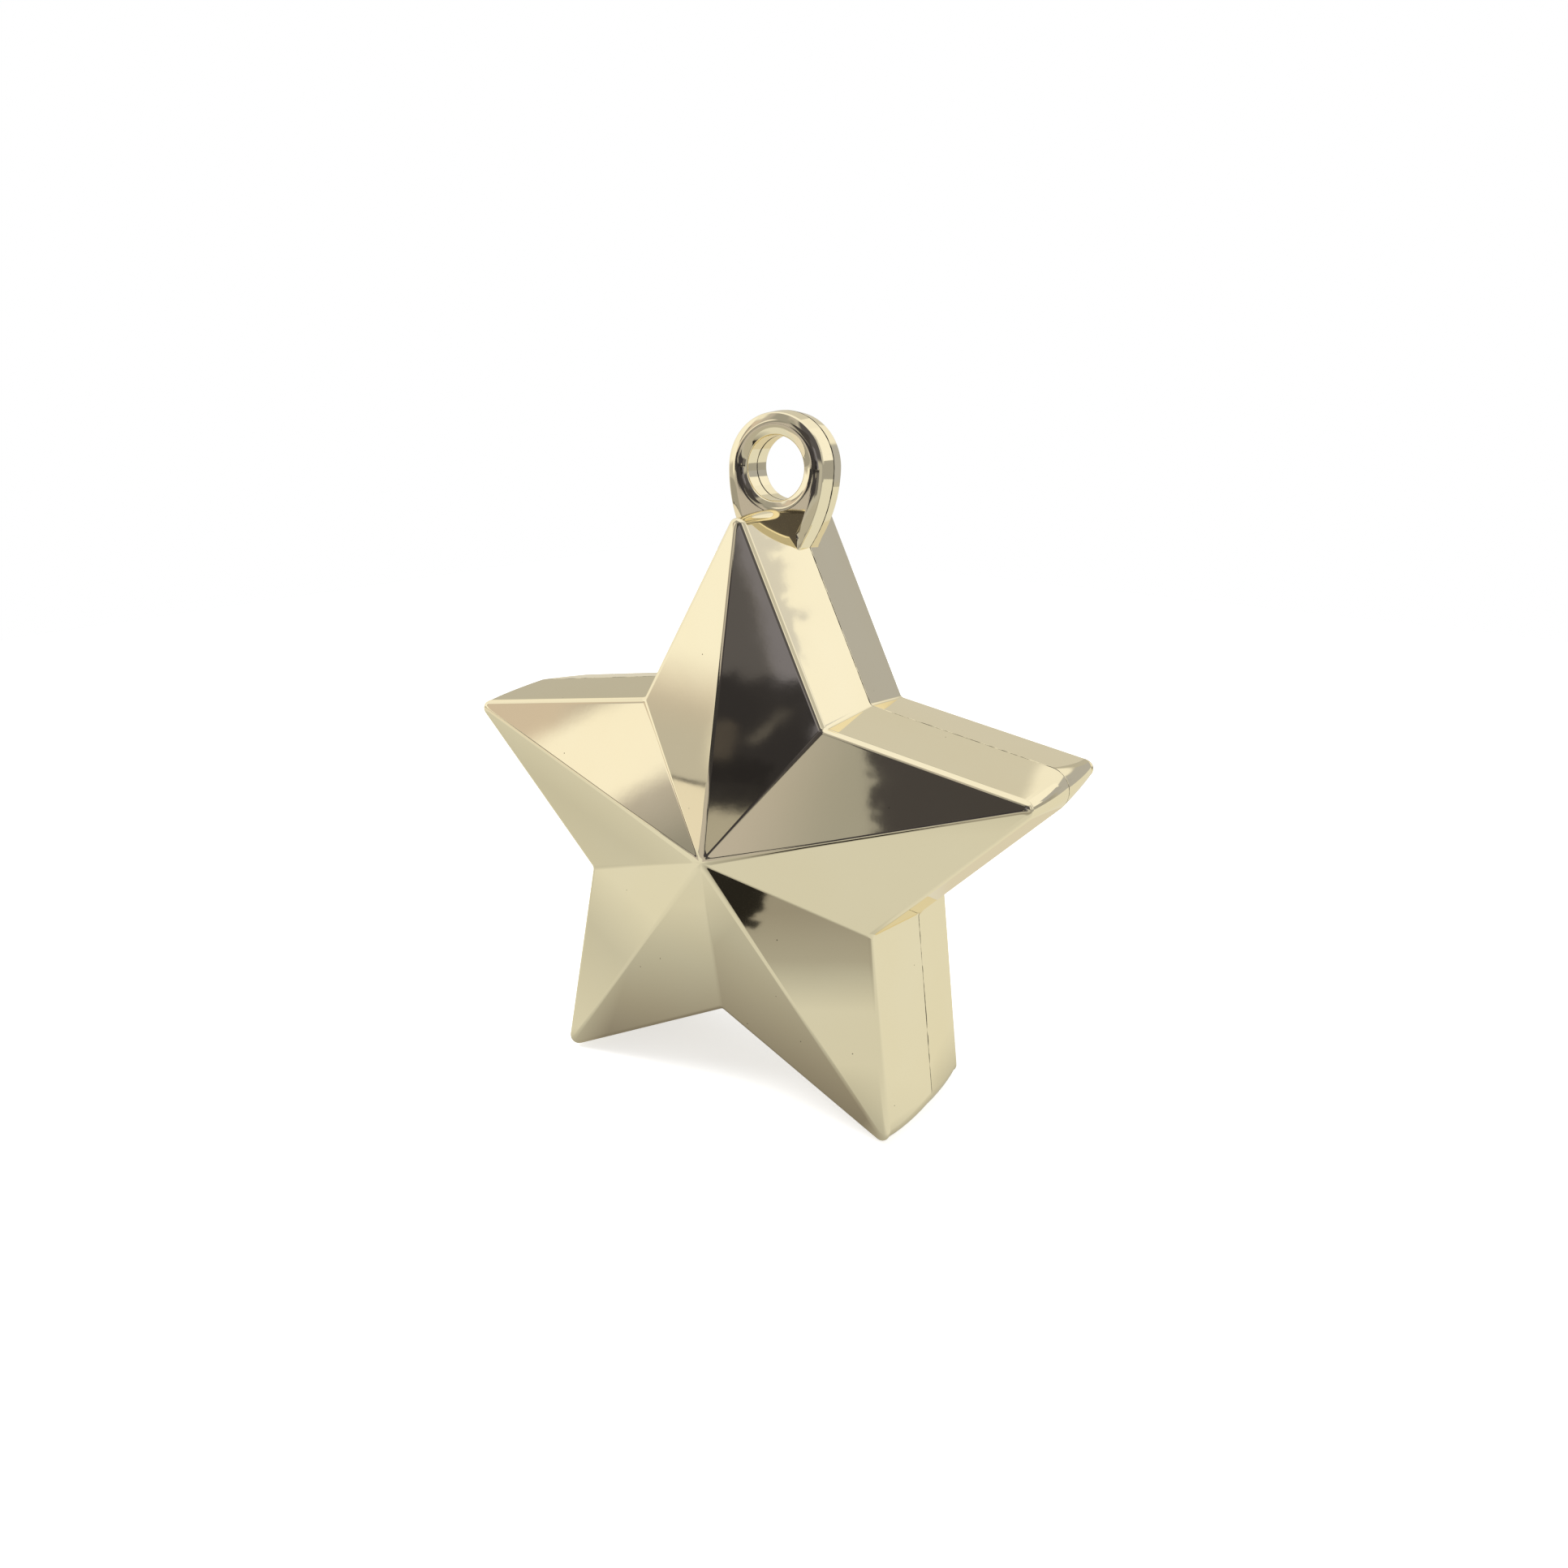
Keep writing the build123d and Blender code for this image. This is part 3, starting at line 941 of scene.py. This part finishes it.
def flat_sheet(name, low, high, height, material):
    """A level rectangle between two corners, in millimetres."""
    corners = ((low[0], low[1]), (high[0], low[1]), (high[0], high[1]), (low[0], high[1]))
    mesh = bpy.data.meshes.new(name)
    mesh.from_pydata([(x * MM, y * MM, height * MM) for x, y in corners], [], [(0, 1, 2, 3)])
    mesh.materials.append(material)
    return new_object(name, mesh)


def seen_rays(tree):
    """1 for rays from the camera, from mirrors and through glass, 0 for the rays that light matt
    things."""
    path = add(tree, "ShaderNodeLightPath").outputs
    seen = path["Is Camera Ray"]
    for kind in ("Is Glossy Ray", "Is Transmission Ray"):
        seen = add(tree, "ShaderNodeMath", {0: seen, 1: path[kind]}, operation="MAXIMUM").outputs[0]
    return seen


def floor_paint():
    """Matt white floor that reads as white and keeps a soft shadow."""
    material, tree = new_material("matt white floor")
    matt = add(tree, "ShaderNodeBsdfDiffuse", {"Color": linear("#E8E8E8")})
    lift = add(tree, "ShaderNodeMath", {0: seen_rays(tree), 1: FLOOR_LIFT}, operation="MULTIPLY")
    glow = add(tree, "ShaderNodeEmission", {"Strength": lift.outputs[0]})
    both = add(tree, "ShaderNodeAddShader", {0: matt.outputs[0], 1: glow.outputs[0]})
    add(tree, "ShaderNodeOutputMaterial", {"Surface": both.outputs[0]})
    return material


def paper():
    """Grey paper under the star, which only mirrors see. A painted shadow of the star darkens it
    between and near the legs; it is also darker towards the front, with a dark cloth over its front
    edge."""
    material, tree = new_material("grey paper")
    place = add(tree, "ShaderNodeTexCoord").outputs["Object"]
    axes = add(tree, "ShaderNodeSeparateXYZ", {0: place}).outputs
    aside = add(tree, "ShaderNodeMath", {0: axes["X"]}, operation="ABSOLUTE").outputs[0]
    along = add(tree, "ShaderNodeMath", {0: axes["Y"]}, operation="ABSOLUTE").outputs[0]
    # The dark cloth's edge is rumpled over about 7 mm, by up to 7 mm each way
    rumple = add(tree, "ShaderNodeTexNoise", {
        "Vector": place, "Scale": 1 / (7 * MM), "Detail": 4.0,
    })
    nudge = add(tree, "ShaderNodeVectorMath", {
        0: rumple.outputs["Color"], 1: (0.5, 0.5, 0.5),
    }, operation="SUBTRACT")
    far = add(tree, "ShaderNodeVectorMath", {
        0: nudge.outputs[0], "Scale": 14 * MM,
    }, operation="SCALE")
    rumpled = add(tree, "ShaderNodeVectorMath", {0: place, 1: far.outputs[0]}, operation="ADD")
    moved = add(tree, "ShaderNodeSeparateXYZ", {0: rumpled.outputs[0]}).outputs
    # Its right edge runs askew
    leant = add(tree, "ShaderNodeMath", {
        0: moved["Y"], 1: 0.17, 2: moved["X"],
    }, operation="MULTIPLY_ADD").outputs[0]
    # What each ramp follows, where it starts and ends in millimetres, and its level there
    ramps = {
        "front": (axes["Y"], -115, -85, 0.33, 0.42),
        "before the star": (axes["Y"], -85, -60, 0, 0.27),
        "under the star": (axes["Y"], -30, 10, 0, 0.1),
        "left": (axes["Y"], -30, 10, 0.6, 0.79),
        "left, front": (axes["Y"], -44, -31, 0.17, 0),
        "to the right": (axes["X"], -60, -10, 0, 1),
        # The star's shadow painted on the paper: darkest between the legs, fading out away from
        # them
        "between the legs": (aside, 20, 31, 0.68, 0),
        "near the legs": (along, 12, 38, 1, 0),
        "cloth, right": (leant, -2.4, -1.4, 1, 0),
        "cloth, left": (moved["X"], -15, -12, 0, 1),
        "cloth": (moved["Y"], -103.5, -101.5, 0.94, 0),
        "gold light": (axes["Y"], 45, 58, 0, 1),
        "gold light, right": (axes["X"], 29, 33, 1, 0),
    }
    level = {}
    for name, (value, start, end, first, last) in ramps.items():
        level[name] = add(tree, "ShaderNodeMapRange", {
            "Value": value, "From Min": start * MM, "From Max": end * MM,
            "To Min": first, "To Max": last,
        }).outputs[0]
    # How the ramps make up the paper: what comes out, from which two
    for result, operation, one, two in (
        ("right", "ADD", "front", "before the star"),
        ("right", "ADD", "right", "under the star"),
        ("left", "ADD", "left", "left, front"),
        ("change", "SUBTRACT", "right", "left"),
        ("change", "MULTIPLY", "change", "to the right"),
        ("paper", "ADD", "left", "change"),
        # The painted shadow of the star takes a share of the paper's level between and near the
        # legs
        ("shade", "MULTIPLY", "between the legs", "near the legs"),
        ("shade", "MULTIPLY", "shade", "paper"),
        ("paper", "SUBTRACT", "paper", "shade"),
        ("cloth", "MULTIPLY", "cloth", "cloth, right"),
        ("cloth", "MULTIPLY", "cloth", "cloth, left"),
        ("cloth", "MULTIPLY", "cloth", "paper"),
        ("paper", "SUBTRACT", "paper", "cloth"),
        ("gold light", "MULTIPLY", "gold light", "gold light, right"),
    ):
        level[result] = add(tree, "ShaderNodeMath", {
            0: level[one], 1: level[two],
        }, operation=operation).outputs[0]
    # In the shade the paper looks warmer than in the light
    lit = add(tree, "ShaderNodeMapRange", {
        "Value": level["paper"], "From Min": 0.25, "From Max": 0.5,
    })
    plain = add(tree, "ShaderNodeMix", {
        SHARE: lit.outputs[0], FIRST: linear("#FFF8F1"), SECOND: linear("#FEFFFB"),
    }, data_type="RGBA")
    # Behind the star it takes on a little of the gold light that the star throws there
    colour = add(tree, "ShaderNodeMix", {
        SHARE: level["gold light"], FIRST: plain.outputs[MIXED], SECOND: linear("#F4EEDD"),
    }, data_type="RGBA")
    glow = add(tree, "ShaderNodeEmission", {
        "Color": colour.outputs[MIXED], "Strength": level["paper"],
    })
    add(tree, "ShaderNodeOutputMaterial", {"Surface": glow.outputs[0]})
    return material


tent()
bent_sheet("dark mat", (-22, -8), ((700, 2), (900, 2)), "#45444A")
bent_sheet("dark strip", (-50, -14), ((1100, 0), (1100, 100)), "#3A393E")
bent_sheet("dark strip, right", (-14, 12), ((1100, 4), (1100, 26)), "#2E2D32")
bent_sheet("left paper", (-85, -42), ((140, 17.7), (277, 17.7)), "#EAE5DE")
bent_sheet("left paper, shaded edge", (-85, -42), ((277, 17.7), (291, 17.7)), "#727171")
flat_sheet("floor", SHEET_LOW, SHEET_HIGH, 0, floor_paint())
only_mirrors_show(flat_sheet("paper", SHEET_LOW, SHEET_HIGH, PAPER_HEIGHT, paper()))


def world():
    """White to the eye and to mirrors, and a soft even light on everything else."""
    made = bpy.data.worlds.new("white studio")
    bpy.context.scene.world = made
    made.use_nodes = True
    tree = made.node_tree
    tree.nodes.clear()
    level = add(tree, "ShaderNodeMapRange", {
        "Value": seen_rays(tree), "To Min": WORLD_LIGHT, "To Max": 1.0,
    })
    sky = add(tree, "ShaderNodeBackground", {
        "Color": linear("#FFFFFF"), "Strength": level.outputs[0],
    })
    add(tree, "ShaderNodeOutputWorld", {"Surface": sky.outputs[0]})


def lamp(name, azimuth, elevation, distance, size, power):
    """Square soft lamp that points at the star; mirrors see the tent in its place."""
    data = bpy.data.lights.new(name, "AREA")
    data.size = size
    data.energy = power
    made = new_object(name, data)
    way = direction(azimuth, elevation)
    made.location = STAR_CENTRE + way * distance
    made.rotation_euler = way.to_track_quat("Z", "Y").to_euler()
    made.visible_glossy = False


world()
lamp("key lamp", azimuth=-50, elevation=55, distance=0.9, size=0.6, power=6.0)
lamp("fill lamp", azimuth=70, elevation=40, distance=1.1, size=0.8, power=3.0)

# Camera: lens and sensor, its place from the star's centre in millimetres, the direction that it
# looks back along, and its lean, in degrees
LENS = 32.0
SENSOR_WIDTH = 36
NEAREST_SHOWN = 0.01
CAMERA_PLACE = (87.13, -156.34, 59.03)
CAMERA_BACK = (28.62, 16.44)
CAMERA_LEAN = 2.44


def camera():
    """The photograph's view: close to the star, above it and to its right, leaning a little."""
    data = bpy.data.cameras.new("camera")
    data.sensor_width = SENSOR_WIDTH
    data.lens = LENS
    data.clip_start = NEAREST_SHOWN
    made = new_object("camera", data)
    made.location = STAR_CENTRE + Vector(CAMERA_PLACE) * MM
    upright = (-direction(*CAMERA_BACK)).to_track_quat("-Z", "Y")
    made.rotation_mode = "QUATERNION"
    made.rotation_quaternion = upright @ Quaternion((0, 0, 1), math.radians(CAMERA_LEAN))
    bpy.context.scene.camera = made


camera()
bpy.context.scene.view_settings.view_transform = "Standard"
